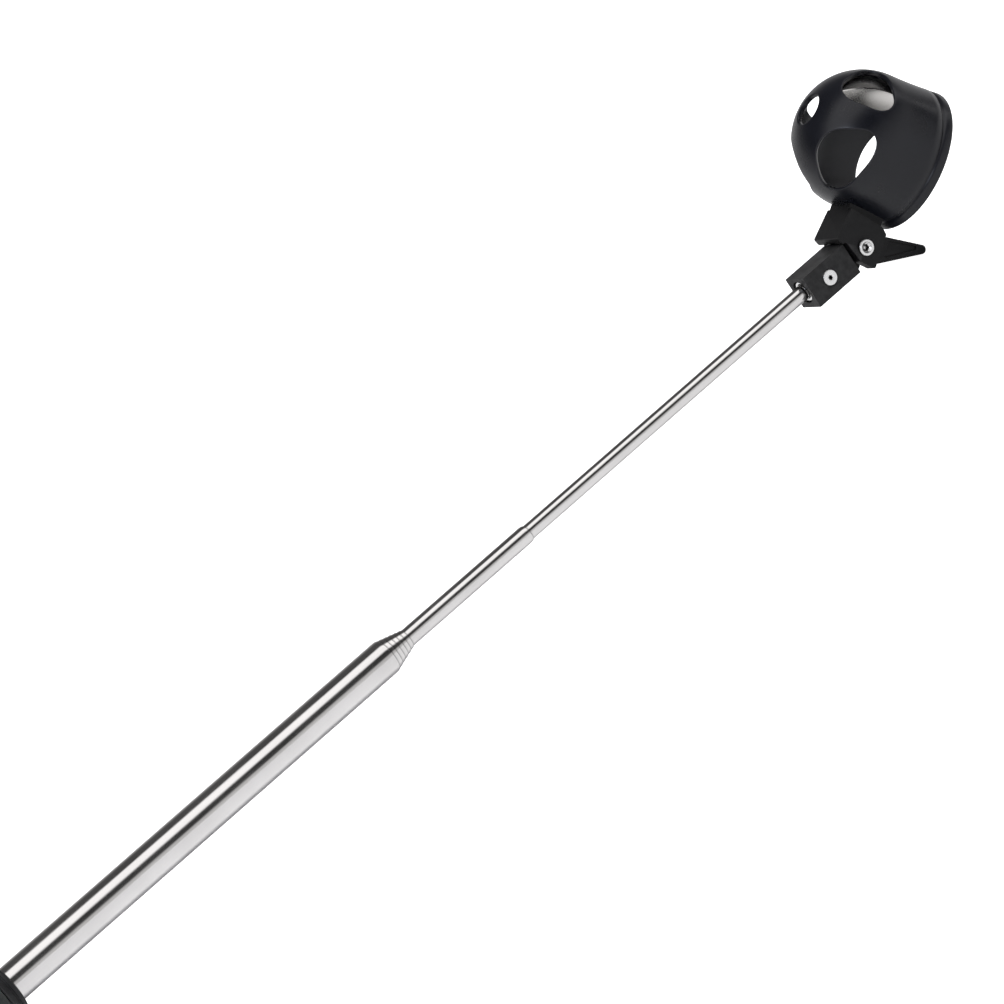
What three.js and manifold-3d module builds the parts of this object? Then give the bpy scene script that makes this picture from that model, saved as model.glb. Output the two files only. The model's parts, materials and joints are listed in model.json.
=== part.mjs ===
// Telescopic ball retriever: an eight section steel pole, a rubber grip, and a
// spring loaded scoop cup on a hinged head. Millimetres, +Z up.
// The pole's axis is the X axis, and the origin is the centre of the butt face.
import * as THREE from 'three';
import { mergeVertices } from 'three/addons/utils/BufferGeometryUtils.js';
import Module from 'manifold-3d';

const wasm = await Module();
wasm.setup();

// Pole
const sectionCount = 8;
const outerRadius = 6.6; // of section 1
const radiusStep = 0.525; // from one section to the next
const wall = 0.35;
const neckFit = 0.04; // radial play where a section leaves the one outside it
const neckLength = 1.8; // swaged end of each section
const firstEnd = 310; // open end of section 1
const ringStep = 1.8; // each closed section stands this far out of the last
const firstStart = 9; // inner end of section 1
const startStep = 8; // the inner ends are staggered when the pole is closed
const drawnOut = { 7: 56.5, 8: 138 }; // sections that are part way out at rest
const tubeSegments = 20;

// End bushes
const bushFlange = 3.6;
const bushSpigot = 3;
const bushFit = 0.06;

// Grip
const gripRadius = 13;
const gripFront = 134;
const collarFront = 139;
const collarRadius = 10.6;
const capThickness = 8;
const gripSegments = 32;

// Hinge block and the tongue that the head turns on
const blockLength = 20.8;
const blockWidth = 12.4;
const blockTop = 5.95;
const blockBottom = -6.55;
const visibleLastSection = 139.3;
const pivotFromBlock = 5.9;
const tongueHalfWidth = 3;
const tongueRadius = 4.2;
const tubeSocket = 13;
const blockScrewFromBack = 9.5;
const blockScrewHeight = -0.5;
const blockScrewRadius = 1.25;
const blockChamfer = 0.7;
const mouthRadius = 4.6; // the tube socket is wider here, for the ferrule
const mouthDepth = 2;
const ferruleRadius = 4.4;
const ferruleSink = 0.5; // from the block's back to the ferrule's rim

// Head, in the plane of the hinge. Lengths are from the pivot.
const pivotRadius = 1.5;
const cupCentre = new THREE.Vector2(26.4, 29);
const mouthTilt = THREE.MathUtils.degToRad(57); // of the mouth, below the pole
const cupRadius = 25.5;
const cupWall = 2;
const cupSegments = 36;
const domeSteps = 7;
const skirt = 21.5; // from the dome's centre to the mouth
const lip = 1.1; // how far the rim stands out
const crownHole = 5.8;
const crownHoleShift = 2.3; // towards the leaf
// A window on each side of the hinge plane. Angles are in degrees: polar is from the crown to its
// middle, azimuth is from the leaf's side round to its middle, and turn tips it in its own plane.
const windows = [
  { azimuth: 46, polar: 61.5, halfWidth: 10.95, halfHeight: 8.85, turn: -6 },
  { azimuth: 130.5, polar: 55.8, halfWidth: 12.8, halfHeight: 9, turn: 4.2 },
];
const windowCorner = 0.095; // how far from an oval towards a triangle
const notchMiddle = -3; // of the cut in the far side of the skirt, towards the leaf
const notchHalfWidth = 17;
const notchDepth = 6.9;
const notchFrom = 6; // it is cut from this far off the hinge plane
const forkHalfWidth = 8.2;
const slotHalfWidth = 3.3;
const neckHalfWidth = 6.4;
const neckDepth = 6.2;
const neckSink = 1.1; // how far the neck goes into the dome's wall

// Outlines from the pivot, in the plane of the hinge: [along, up].
const cheekOutline = [
  [4, 14.8],
  [-7.5, 9.6],
  [-6.9, 6.5],
  [-5.3, 6.3],
  [-4.5, -3.1],
  [-1.2, -8.6],
  [8.7, -2.3],
  [10, -1.8],
  [10.3, 1.3],
];
const slotOutline = [
  [-14, 4.1],
  [3, 11.8],
  [11.8, 0.6],
  [30, -10],
  [10, -30],
  [-14, -30],
];

// Release lever
const leverHalfWidth = 2.5;
const leverPin = new THREE.Vector2(6.2, -1.4);
const leverPinRadius = 0.8;
const leverPinHalfLength = 5; // its ends are blind in the fork's cheeks
const leverTip = new THREE.Vector2(21.8, -16.8);
const leverTipRadius = 1.7;
const panelDepth = 0.6;
const panelOutline = [
  [12.5, -6.3],
  [20, -14.1],
  [18.7, -15.3],
  [7.2, -9.6],
];

// Retaining leaf
const leafThickness = 0.5;
const leafCrownSide = 36; // degrees from the crown to the leaf's upper edge
const leafMouthSide = -16; // height of its lower edge
const leafGap = 0.5;
const leafHalfAngle = 40;
const leafLean = THREE.MathUtils.degToRad(4);
const rivetPolar = 42; // degrees from the cup's crown
const rivetSpread = 11; // degrees either side of the leaf's middle
const rivetRadius = 0.9;
const rivetHead = 1.8;

const material = {
  steel: () => new THREE.MeshStandardMaterial({ color: 0xcfcac6, roughness: 0.22, metalness: 1 }),
  zinc: () => new THREE.MeshStandardMaterial({ color: 0xd9d9d8, roughness: 0.3, metalness: 1 }),
  rubber: () => new THREE.MeshStandardMaterial({ color: 0x1b1b1c, roughness: 0.85, metalness: 0 }),
  cap: () => new THREE.MeshStandardMaterial({ color: 0x242426, roughness: 0.5, metalness: 0 }),
  nylon: () => new THREE.MeshStandardMaterial({ color: 0xe4e1d8, roughness: 0.5, metalness: 0 }),
  hinge: () => new THREE.MeshStandardMaterial({ color: 0x28282a, roughness: 0.42, metalness: 0 }),
  scoop: () => new THREE.MeshStandardMaterial({ color: 0x26272b, roughness: 0.3, metalness: 0 }),
};

const part = new THREE.Group();

function add(name, geometry, finish) {
  const mesh = new THREE.Mesh(geometry, finish);
  mesh.name = name;
  part.add(mesh);
  return mesh;
}

// Boolean solids

function toSolid(geometry) {
  const bare = geometry.clone();
  bare.deleteAttribute('normal');
  bare.deleteAttribute('uv');
  const merged = mergeVertices(bare, 1e-4);
  const corners = merged.index.array;
  const kept = [];
  for (let i = 0; i < corners.length; i += 3) {
    const [a, b, c] = [corners[i], corners[i + 1], corners[i + 2]];
    if (a !== b && b !== c && c !== a) kept.push(a, b, c);
  }
  const vertProperties = new Float32Array(merged.attributes.position.array);
  const triVerts = new Uint32Array(kept);
  return new wasm.Manifold(new wasm.Mesh({ numProp: 3, vertProperties, triVerts }));
}

function toGeometry(solid) {
  const mesh = solid.getMesh();
  const geometry = new THREE.BufferGeometry();
  geometry.setAttribute('position', new THREE.BufferAttribute(mesh.vertProperties, 3));
  geometry.setIndex(new THREE.BufferAttribute(mesh.triVerts, 1));
  geometry.computeVertexNormals();
  return geometry;
}

function cut(solid, ...tools) {
  return tools.reduce((rest, tool) => rest.subtract(tool), solid);
}

// Shapes

// A turned piece about the X axis. Each point is [radius, x]; the outside runs towards +X.
function turned(points, segments) {
  const profile = points.map(([radius, x]) => new THREE.Vector2(radius, x));
  const geometry = new THREE.LatheGeometry(profile, segments);
  return geometry.rotateZ(-Math.PI / 2);
}

// A round rod along Y, between two values of y.
function rodAlongY(radius, low, high, x, z, segments = 20) {
  const geometry = new THREE.CylinderGeometry(radius, radius, high - low, segments);
  return geometry.translate(x, (low + high) / 2, z);
}

// An outline of the head, made this wide either side of the hinge plane.
function plate(outline, halfWidth) {
  const shape = new THREE.Shape(outline.map(([x, z]) => new THREE.Vector2(x + pivotX, z)));
  const depth = 2 * halfWidth;
  const geometry = new THREE.ExtrudeGeometry(shape, { depth, bevelEnabled: false });
  return geometry.rotateX(Math.PI / 2).translate(0, halfWidth, 0);
}

function box(low, high) {
  const size = high.map((value, i) => value - low[i]);
  const middle = high.map((value, i) => (value + low[i]) / 2);
  return new THREE.BoxGeometry(...size).translate(...middle);
}

// Pole sections, nested one in the next

const radiusOf = (k) => outerRadius - radiusStep * (k - 1);
const drawnBy = (k) => (k >= 7 ? drawnOut[7] : 0) + (k >= 8 ? drawnOut[8] : 0);
const startOf = (k) => firstStart + startStep * (k - 1) + drawnBy(k);
const endOf = (k) => firstEnd + ringStep * (k - 1) + drawnBy(k);

const blockBack = endOf(7) + visibleLastSection;
const blockFront = blockBack + blockLength;
const pivotX = blockFront + pivotFromBlock;
const screwX = blockBack + blockScrewFromBack;
const lastEnd = blockBack + tubeSocket;

// Its far end is swaged in to hold the next section.
function sectionGeometry(k) {
  const outside = radiusOf(k);
  const inside = outside - wall;
  const neckInside = radiusOf(k + 1) + neckFit;
  const neckOutside = neckInside + wall;
  const [start, end] = [startOf(k), endOf(k)];
  return turned([
    [inside, start],
    [outside, start],
    [outside, end - neckLength],
    [neckOutside, end - 0.4],
    [neckOutside - 0.15, end],
    [neckInside, end],
    [neckInside, end - 0.6],
    [inside, end - neckLength],
    [inside, start],
  ], tubeSegments);
}

function lastSectionGeometry() {
  const outside = radiusOf(sectionCount);
  const inside = outside - wall;
  const start = startOf(sectionCount);
  const tube = turned([
    [inside, start],
    [outside, start],
    [outside, lastEnd],
    [inside, lastEnd],
    [inside, start],
  ], tubeSegments);
  const hole = rodAlongY(blockScrewRadius + 0.2, -5, 5, screwX, blockScrewHeight);
  return toGeometry(cut(toSolid(tube), toSolid(hole)));
}

for (let k = 1; k < sectionCount; k += 1) {
  add(`tube_section_${k}`, sectionGeometry(k), material.steel());
}
add(`tube_section_${sectionCount}`, lastSectionGeometry(), material.steel());

// A nylon bush rides behind each inner section's end and slides in the section outside it.
for (let k = 2; k <= sectionCount; k += 1) {
  const flange = radiusOf(k - 1) - wall - bushFit;
  const spigot = radiusOf(k) - wall - bushFit;
  const bore = spigot - 0.8;
  const start = startOf(k) - bushFit;
  add(`section_bush_${k}`, turned([
    [bore, start - bushFlange],
    [flange, start - bushFlange],
    [flange, start],
    [spigot, start],
    [spigot, start + bushSpigot],
    [bore, start + bushSpigot],
    [bore, start - bushFlange],
  ], tubeSegments), material.nylon());
}

// Grip

const tubeBore = outerRadius - wall - bushFit;
add('butt_plug', turned([
  [0, capThickness + 0.4],
  [outerRadius - 0.1, capThickness + 0.4],
  [outerRadius - 0.1, firstStart - 0.1],
  [tubeBore, firstStart - 0.1],
  [tubeBore, firstStart + 3.6],
  [0, firstStart + 3.6],
], tubeSegments), material.nylon());

add('grip_butt_cap', turned([
  [0, 0],
  [gripRadius - 1.6, 0],
  [gripRadius, 1.6],
  [gripRadius, capThickness - 0.4],
  [gripRadius - 0.5, capThickness],
  [0, capThickness],
], gripSegments), material.cap());

const gripBore = outerRadius + 0.15;
add('grip_sleeve', turned([
  [gripBore, capThickness + 0.4],
  [gripRadius - 0.4, capThickness + 0.4],
  [gripRadius, 20],
  [gripRadius, 52],
  [gripRadius - 1, 78],
  [gripRadius - 1, 98],
  [gripRadius - 0.2, 118],
  [gripRadius - 1.4, gripFront - 0.3],
  [gripBore, gripFront - 0.3],
  [gripBore, capThickness + 0.4],
], gripSegments), material.rubber());

add('grip_front_collar', turned([
  [gripBore, gripFront],
  [gripRadius - 1.6, gripFront],
  [collarRadius + 0.3, gripFront + 1.6],
  [collarRadius, collarFront - 1.9],
  [collarRadius - 0.7, collarFront - 0.6],
  [collarRadius - 2, collarFront],
  [gripBore, collarFront],
  [gripBore, gripFront],
], gripSegments), material.cap());

// Hinge block, its screw and the steel insert inside the tube's end

function hingeBlockGeometry() {
  const halfWidth = blockWidth / 2;
  const chamfer = blockChamfer;
  const body = new THREE.Shape([
    new THREE.Vector2(-halfWidth + chamfer, blockBottom),
    new THREE.Vector2(halfWidth - chamfer, blockBottom),
    new THREE.Vector2(halfWidth, blockBottom + chamfer),
    new THREE.Vector2(halfWidth, blockTop - chamfer),
    new THREE.Vector2(halfWidth - chamfer, blockTop),
    new THREE.Vector2(-halfWidth + chamfer, blockTop),
    new THREE.Vector2(-halfWidth, blockTop - chamfer),
    new THREE.Vector2(-halfWidth, blockBottom + chamfer),
  ]);
  const bar = new THREE.ExtrudeGeometry(body, { depth: blockLength, bevelEnabled: false });
  bar.rotateX(Math.PI / 2).rotateZ(Math.PI / 2).translate(blockBack, 0, 0);
  const arm = box(
    [blockFront - 1, -tongueHalfWidth, -tongueRadius],
    [pivotX, tongueHalfWidth, tongueRadius],
  );
  const nose = rodAlongY(tongueRadius, -tongueHalfWidth, tongueHalfWidth, pivotX, 0, 24);
  const socketRadius = radiusOf(sectionCount) + 0.1;
  const socket = turned([
    [0, blockBack - 1],
    [mouthRadius, blockBack - 1],
    [mouthRadius, blockBack + mouthDepth],
    [socketRadius, blockBack + mouthDepth],
    [socketRadius, lastEnd + 0.3],
    [0, lastEnd + 0.3],
  ], tubeSegments);
  const solid = toSolid(bar).add(toSolid(arm)).add(toSolid(nose));
  return toGeometry(cut(
    solid,
    toSolid(socket),
    toSolid(rodAlongY(blockScrewRadius + 0.25, -8, 8, screwX, blockScrewHeight)),
    toSolid(rodAlongY(3.1, -7, -halfWidth + 1.1, screwX, blockScrewHeight)),
    toSolid(rodAlongY(pivotRadius + 0.1, -5, 5, pivotX, 0)),
  ));
}
add('hinge_block', hingeBlockGeometry(), material.hinge());

// A flanged screw along Y: its head is towards -Y and has a hexagon socket.
function screwGeometry({ headRadius, headLow, headHigh, shankRadius, shankEnd, socketRadius, x, z }) {
  const head = toSolid(rodAlongY(headRadius, headLow, headHigh, x, z, 24));
  const shank = toSolid(rodAlongY(shankRadius, headHigh - 0.2, shankEnd, x, z));
  const socket = toSolid(rodAlongY(socketRadius, headLow - 1, headLow + 0.7, x, z, 6));
  return toGeometry(cut(head.add(shank), socket));
}

function nutGeometry({ acrossCorners, bore, low, high, x, z }) {
  const body = toSolid(rodAlongY(acrossCorners, low, high, x, z, 6));
  return toGeometry(cut(body, toSolid(rodAlongY(bore, low - 1, high + 1, x, z))));
}

const blockSide = blockWidth / 2;
add('block_screw', screwGeometry({
  headRadius: 2.9,
  headLow: -blockSide - 0.15,
  headHigh: -blockSide + 1,
  shankRadius: blockScrewRadius,
  shankEnd: blockSide + 1.7,
  socketRadius: 1.1,
  x: screwX,
  z: blockScrewHeight,
}), material.zinc());
add('block_nut', nutGeometry({
  acrossCorners: 2.9,
  bore: blockScrewRadius + 0.1,
  low: blockSide + 0.1,
  high: blockSide + 1.6,
  x: screwX,
  z: blockScrewHeight,
}), material.zinc());

// A bright ring closes the block's socket round the tube.
const ferruleBore = radiusOf(sectionCount) + 0.08;
const ferruleEnd = blockBack + mouthDepth - 0.1;
add('tube_ferrule', turned([
  [ferruleBore, blockBack + ferruleSink + 0.3],
  [ferruleBore + 0.3, blockBack + ferruleSink],
  [ferruleRadius - 0.3, blockBack + ferruleSink],
  [ferruleRadius, blockBack + ferruleSink + 0.3],
  [ferruleRadius, ferruleEnd],
  [ferruleBore, ferruleEnd],
  [ferruleBore, blockBack + ferruleSink + 0.3],
], gripSegments), material.zinc());

function insertGeometry() {
  const radius = radiusOf(sectionCount) - wall - bushFit;
  const body = turned([
    [0, screwX - 5],
    [radius, screwX - 5],
    [radius, lastEnd - 0.2],
    [0, lastEnd - 0.2],
  ], tubeSegments);
  const hole = rodAlongY(blockScrewRadius + 0.15, -5, 5, screwX, blockScrewHeight);
  return toGeometry(cut(toSolid(body), toSolid(hole)));
}
add('tube_end_insert', insertGeometry(), material.zinc());

// Scoop cup. Its own axis runs from the mouth to the crown, in the hinge plane.

const toCrown = new THREE.Vector3(-Math.cos(mouthTilt), 0, Math.sin(mouthTilt));
const toLeaf = new THREE.Vector3(Math.sin(mouthTilt), 0, Math.cos(mouthTilt));
const cupFrame = new THREE.Matrix4().makeBasis(
  toLeaf,
  new THREE.Vector3().crossVectors(toCrown, toLeaf),
  toCrown,
).setPosition(pivotX + cupCentre.x, 0, cupCentre.y);

// A direction in the cup's frame, from degrees off the crown and degrees round it.
function direction(polar, azimuth) {
  const theta = THREE.MathUtils.degToRad(polar);
  const phi = THREE.MathUtils.degToRad(azimuth);
  return new THREE.Vector3(
    Math.sin(theta) * Math.cos(phi),
    Math.sin(theta) * Math.sin(phi),
    Math.cos(theta),
  );
}

// Points of a dome and skirt at one radius, from the mouth up to the crown: [radius, height].
function domeProfile(radius, steps) {
  const points = [];
  for (let i = 0; i <= steps; i += 1) {
    const angle = (i / steps) * (Math.PI / 2);
    points.push([radius * Math.cos(angle), radius * Math.sin(angle)]);
  }
  points[steps][0] = 0;
  return points;
}

// A turned piece about the cup's own axis, from [radius, height] points.
function turnedOnCup(points, segments) {
  const profile = points.map(([radius, height]) => new THREE.Vector2(radius, height));
  return new THREE.LatheGeometry(profile, segments).rotateX(Math.PI / 2);
}

// A window's cutter: a rounded triangle with its tip to the crown, pushed out along the radius.
function windowGeometry({ azimuth, polar, halfWidth, halfHeight, turn }, side) {
  const steps = 30;
  const tip = THREE.MathUtils.degToRad(side * turn);
  const outline = [];
  for (let i = 0; i < steps; i += 1) {
    const angle = (i / steps) * 2 * Math.PI;
    const reach = 1 + windowCorner * Math.cos(3 * angle);
    const point = new THREE.Vector2(
      -halfWidth * reach * Math.sin(angle),
      halfHeight * reach * Math.cos(angle),
    );
    outline.push(point.rotateAround(new THREE.Vector2(), tip));
  }
  const cutter = new THREE.ExtrudeGeometry(new THREE.Shape(outline), { depth: 20, bevelEnabled: false });
  const outward = direction(polar, side * azimuth);
  const sideways = direction(90, side * azimuth + 90);
  const upward = new THREE.Vector3().crossVectors(outward, sideways);
  const place = new THREE.Matrix4().makeBasis(sideways, upward, outward);
  return cutter.translate(0, 0, 10).applyMatrix4(place);
}

// The cutter for the arched notch in the far side of the mouth.
function notchGeometry() {
  const steps = 24;
  const outline = [];
  for (let i = 0; i < steps; i += 1) {
    const angle = (i / steps) * 2 * Math.PI;
    outline.push(new THREE.Vector2(
      notchMiddle + notchHalfWidth * Math.cos(angle),
      -skirt + notchDepth * Math.sin(angle),
    ));
  }
  const depth = 2 * cupRadius;
  const cutter = new THREE.ExtrudeGeometry(new THREE.Shape(outline), { depth, bevelEnabled: false });
  return cutter.rotateX(Math.PI / 2).translate(0, notchFrom + depth, 0);
}

function shellSolid() {
  const inner = cupRadius - cupWall;
  const mouth = -skirt;
  const shell = toSolid(turnedOnCup([
    [inner, mouth],
    [cupRadius + lip, mouth],
    [cupRadius + lip, mouth + 1.4],
    [cupRadius + 0.1, mouth + 3.4],
    ...domeProfile(cupRadius, domeSteps),
    ...domeProfile(inner, domeSteps).reverse(),
    [inner, mouth],
  ], cupSegments));
  const crown = new THREE.CylinderGeometry(crownHole, crownHole, 20, 24).rotateX(Math.PI / 2);
  crown.translate(crownHoleShift, 0, cupRadius);
  const holes = [toSolid(crown), toSolid(notchGeometry())];
  for (const side of [-1, 1]) {
    holes.push(...windows.map((window) => toSolid(windowGeometry(window, side))));
    holes.push(toSolid(rivetRod(side, rivetRadius + 0.15, -6, cupWall / 2 - 0.6)));
  }
  return cut(shell, ...holes);
}

// Two cheeks and the neck that joins them to the dome, cleared of the ball's space.
function forkSolid() {
  const cheeks = plate(cheekOutline, forkHalfWidth);
  const neckFoot = neckSink - cupRadius;
  const neck = box([neckFoot - neckDepth, -neckHalfWidth, -14.5], [neckFoot, neckHalfWidth, 0.5]);
  neck.applyMatrix4(cupFrame);
  const inner = cupRadius - cupWall;
  const cavity = turnedOnCup([
    [0, -skirt - 5],
    [inner, -skirt - 5],
    ...domeProfile(inner, domeSteps),
  ], cupSegments).applyMatrix4(cupFrame);
  return cut(toSolid(cheeks).add(toSolid(neck)), toSolid(cavity));
}

function scoopGeometry() {
  const pinHole = leverPinRadius + 0.1;
  const pinReach = leverPinHalfLength + 0.3;
  return toGeometry(cut(
    shellSolid().transform(cupFrame.toArray()).add(forkSolid()),
    toSolid(plate(slotOutline, slotHalfWidth)),
    toSolid(rodAlongY(pivotRadius + 0.1, -12, 12, pivotX, 0)),
    toSolid(rodAlongY(pinHole, -pinReach, pinReach, pivotX + leverPin.x, leverPin.y, 14)),
  ));
}

// A rod along the cup's radius at a rivet, from low to high about the middle of the wall.
function rivetRod(side, radius, low, high) {
  const outward = direction(rivetPolar, side * rivetSpread);
  const rod = new THREE.CylinderGeometry(radius, radius, high - low, 14);
  const turn = new THREE.Quaternion().setFromUnitVectors(new THREE.Vector3(0, 1, 0), outward);
  rod.applyQuaternion(turn);
  const centre = outward.multiplyScalar(cupRadius - cupWall / 2 + (low + high) / 2);
  return rod.translate(centre.x, centre.y, centre.z);
}
add('scoop_cup', scoopGeometry(), material.scoop());

// Hinge pin screw and its nut
add('pivot_screw', screwGeometry({
  headRadius: 3,
  headLow: -forkHalfWidth - 1.3,
  headHigh: -forkHalfWidth - 0.1,
  shankRadius: pivotRadius,
  shankEnd: forkHalfWidth + 2,
  socketRadius: 1.5,
  x: pivotX,
  z: 0,
}), material.zinc());
add('pivot_nut', nutGeometry({
  acrossCorners: 3,
  bore: pivotRadius + 0.1,
  low: forkHalfWidth + 0.1,
  high: forkHalfWidth + 1.9,
  x: pivotX,
  z: 0,
}), material.zinc());

// Release lever: a tapered thumb tab on its own pin between the fork's cheeks
function leverGeometry() {
  const outline = [
    [7.9, 0.3],
    [12.1, -3.9],
  ];
  for (let i = 0; i <= 6; i += 1) {
    const angle = THREE.MathUtils.degToRad(42 - i * 26);
    outline.push([
      leverTip.x + leverTipRadius * Math.cos(angle),
      leverTip.y + leverTipRadius * Math.sin(angle),
    ]);
  }
  outline.push([3, -9.5], [2, -6.6], [4.6, -2.7], [5.2, -0.2]);
  const body = toSolid(plate(outline, leverHalfWidth));
  const recess = plate(panelOutline, 1);
  const recessMiddle = leverHalfWidth + 1 - panelDepth;
  const near = recess.clone().translate(0, -recessMiddle, 0);
  const far = recess.clone().translate(0, recessMiddle, 0);
  const hole = rodAlongY(leverPinRadius + 0.1, -5, 5, pivotX + leverPin.x, leverPin.y, 14);
  return toGeometry(cut(body, toSolid(near), toSolid(far), toSolid(hole)));
}

// A flat ring about the lever's pin, from one y to another.
function ringGeometry(bore, radius, low, high) {
  const outer = rodAlongY(radius, low, high, pivotX + leverPin.x, leverPin.y, 16);
  const inner = rodAlongY(bore, low - 1, high + 1, pivotX + leverPin.x, leverPin.y, 16);
  return toGeometry(cut(toSolid(outer), toSolid(inner)));
}

const pinGeometry = rodAlongY(
  leverPinRadius,
  -leverPinHalfLength,
  leverPinHalfLength,
  pivotX + leverPin.x,
  leverPin.y,
  14,
);
add('release_lever', leverGeometry(), material.hinge());
add('lever_pin', pinGeometry, material.zinc());
add('lever_spring', ringGeometry(1.05, 1.9, leverHalfWidth + 0.1, slotHalfWidth - 0.1), material.zinc());

// Retaining leaf: a curved steel spring inside the cup, opposite the hinge. It hangs from two
// rivets near the crown and leans in towards the mouth.
function leafProfile(radius) {
  const row = [[radius, leafMouthSide]];
  for (let i = 0; i <= 5; i += 1) {
    const angle = THREE.MathUtils.degToRad(((90 - leafCrownSide) * i) / 5);
    row.push([radius * Math.cos(angle), radius * Math.sin(angle)]);
  }
  return row;
}

// Everything within the leaf's half angle of the middle.
function leafWedge() {
  const half = THREE.MathUtils.degToRad(leafHalfAngle);
  const reach = 2 * cupRadius;
  const wedge = new THREE.Shape([
    new THREE.Vector2(0, 0),
    new THREE.Vector2(reach * Math.cos(half), -reach * Math.sin(half)),
    new THREE.Vector2(reach * Math.cos(half), reach * Math.sin(half)),
  ]);
  const geometry = new THREE.ExtrudeGeometry(wedge, { depth: 2 * reach, bevelEnabled: false });
  return geometry.translate(0, 0, -reach);
}

function leafGeometry() {
  const outer = cupRadius - cupWall - leafGap;
  const inner = outer - leafThickness;
  const profile = [...leafProfile(outer), ...leafProfile(inner).reverse()];
  profile.push(profile[0]);
  const whole = toSolid(turnedOnCup(profile, cupSegments));
  const holes = [-1, 1].map((side) => toSolid(rivetRod(side, rivetRadius + 0.5, -6, 6)));
  const leaf = cut(whole.intersect(toSolid(leafWedge())), ...holes);

  // it leans about the line through its rivets
  const middle = direction(rivetPolar, rivetSpread).multiplyScalar((outer + inner) / 2);
  const lean = new THREE.Matrix4().makeTranslation(middle.x, 0, middle.z)
    .multiply(new THREE.Matrix4().makeRotationY(leafLean))
    .multiply(new THREE.Matrix4().makeTranslation(-middle.x, 0, -middle.z));
  return toGeometry(leaf.transform(lean.toArray()).transform(cupFrame.toArray()));
}
add('retaining_leaf', leafGeometry(), material.steel());

// Rivets that hold the leaf, blind in the cup's wall: only the heads inside stand out.
function rivetGeometry(side) {
  const half = cupWall / 2;
  const inside = half + leafGap + leafThickness + 0.35;
  const shank = toSolid(rivetRod(side, rivetRadius, -inside - 0.3, half - 0.7));
  const head = toSolid(rivetRod(side, rivetHead, -inside - 0.6, -inside));
  return toGeometry(shank.add(head).transform(cupFrame.toArray()));
}
add('leaf_rivet_left', rivetGeometry(1), material.zinc());
add('leaf_rivet_right', rivetGeometry(-1), material.zinc());

export default part;
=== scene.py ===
import json
import math

import bmesh
import bpy
from mathutils import Matrix, Vector
from mathutils.geometry import delaunay_2d_cdt


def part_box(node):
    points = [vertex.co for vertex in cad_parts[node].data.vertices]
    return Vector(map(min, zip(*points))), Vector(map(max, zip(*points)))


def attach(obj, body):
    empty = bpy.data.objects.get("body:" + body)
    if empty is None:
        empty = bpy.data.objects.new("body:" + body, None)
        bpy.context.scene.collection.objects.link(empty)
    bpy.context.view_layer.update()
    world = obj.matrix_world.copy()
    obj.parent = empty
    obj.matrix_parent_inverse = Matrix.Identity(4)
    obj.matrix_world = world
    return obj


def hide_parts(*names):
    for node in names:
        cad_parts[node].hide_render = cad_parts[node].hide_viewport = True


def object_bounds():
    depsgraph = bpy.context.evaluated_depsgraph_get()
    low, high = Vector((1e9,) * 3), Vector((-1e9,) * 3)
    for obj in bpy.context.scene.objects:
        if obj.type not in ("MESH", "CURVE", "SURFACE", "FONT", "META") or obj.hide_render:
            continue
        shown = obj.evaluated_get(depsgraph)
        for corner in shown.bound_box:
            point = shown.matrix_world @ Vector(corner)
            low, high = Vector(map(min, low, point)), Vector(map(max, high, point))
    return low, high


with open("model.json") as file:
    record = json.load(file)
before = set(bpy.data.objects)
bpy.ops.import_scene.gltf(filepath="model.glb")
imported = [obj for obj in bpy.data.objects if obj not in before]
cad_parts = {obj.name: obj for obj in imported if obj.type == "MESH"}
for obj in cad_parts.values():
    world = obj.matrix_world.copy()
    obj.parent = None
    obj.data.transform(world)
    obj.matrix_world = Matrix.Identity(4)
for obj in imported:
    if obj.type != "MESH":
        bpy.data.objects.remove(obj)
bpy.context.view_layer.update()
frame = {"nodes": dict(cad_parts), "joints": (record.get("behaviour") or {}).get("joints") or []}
mm = 0.001
sectionCount = 8
joints = {joint["name"]: joint for joint in frame["joints"]}
pivot = Vector(joints["head_fold"]["pos_m"])
leverPivot = Vector(joints["lever_press"]["pos_m"])
print("frame loaded:", len(frame["nodes"]), "nodes")


# Small mesh helpers

def makeObject(name, mesh):
    thing = bpy.data.objects.new(name, mesh)
    bpy.context.scene.collection.objects.link(thing)
    return thing


def finishMesh(name, mesh, material, sharpAngle=35):
    if not mesh.has_custom_normals:
        mesh.shade_smooth()
        mesh.set_sharp_from_angle(angle=math.radians(sharpAngle))
    mesh.materials.clear()
    mesh.materials.append(material)
    return makeObject(name, mesh)


def meshFrom(name, points, faces):
    mesh = bpy.data.meshes.new(name)
    mesh.from_pydata([tuple(p) for p in points], [], faces)
    work = bmesh.new()
    work.from_mesh(mesh)
    bmesh.ops.remove_doubles(work, verts=work.verts, dist=1e-7)
    bmesh.ops.recalc_face_normals(work, faces=work.faces)
    work.to_mesh(mesh)
    work.free()
    return mesh


def baked(thing):
    # the object's modifiers become its plain mesh
    graph = bpy.context.evaluated_depsgraph_get()
    mesh = bpy.data.meshes.new_from_object(thing.evaluated_get(graph), depsgraph=graph)
    thing.modifiers.clear()
    old = thing.data
    thing.data = mesh
    bpy.data.meshes.remove(old)
    return thing


def arc(centre, radius, start, end, steps):
    # points of an arc in a plane, angles in degrees
    points = []
    for i in range(steps + 1):
        angle = math.radians(start + (end - start) * i / steps)
        points.append((centre[0] + radius * math.cos(angle), centre[1] + radius * math.sin(angle)))
    return points


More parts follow.
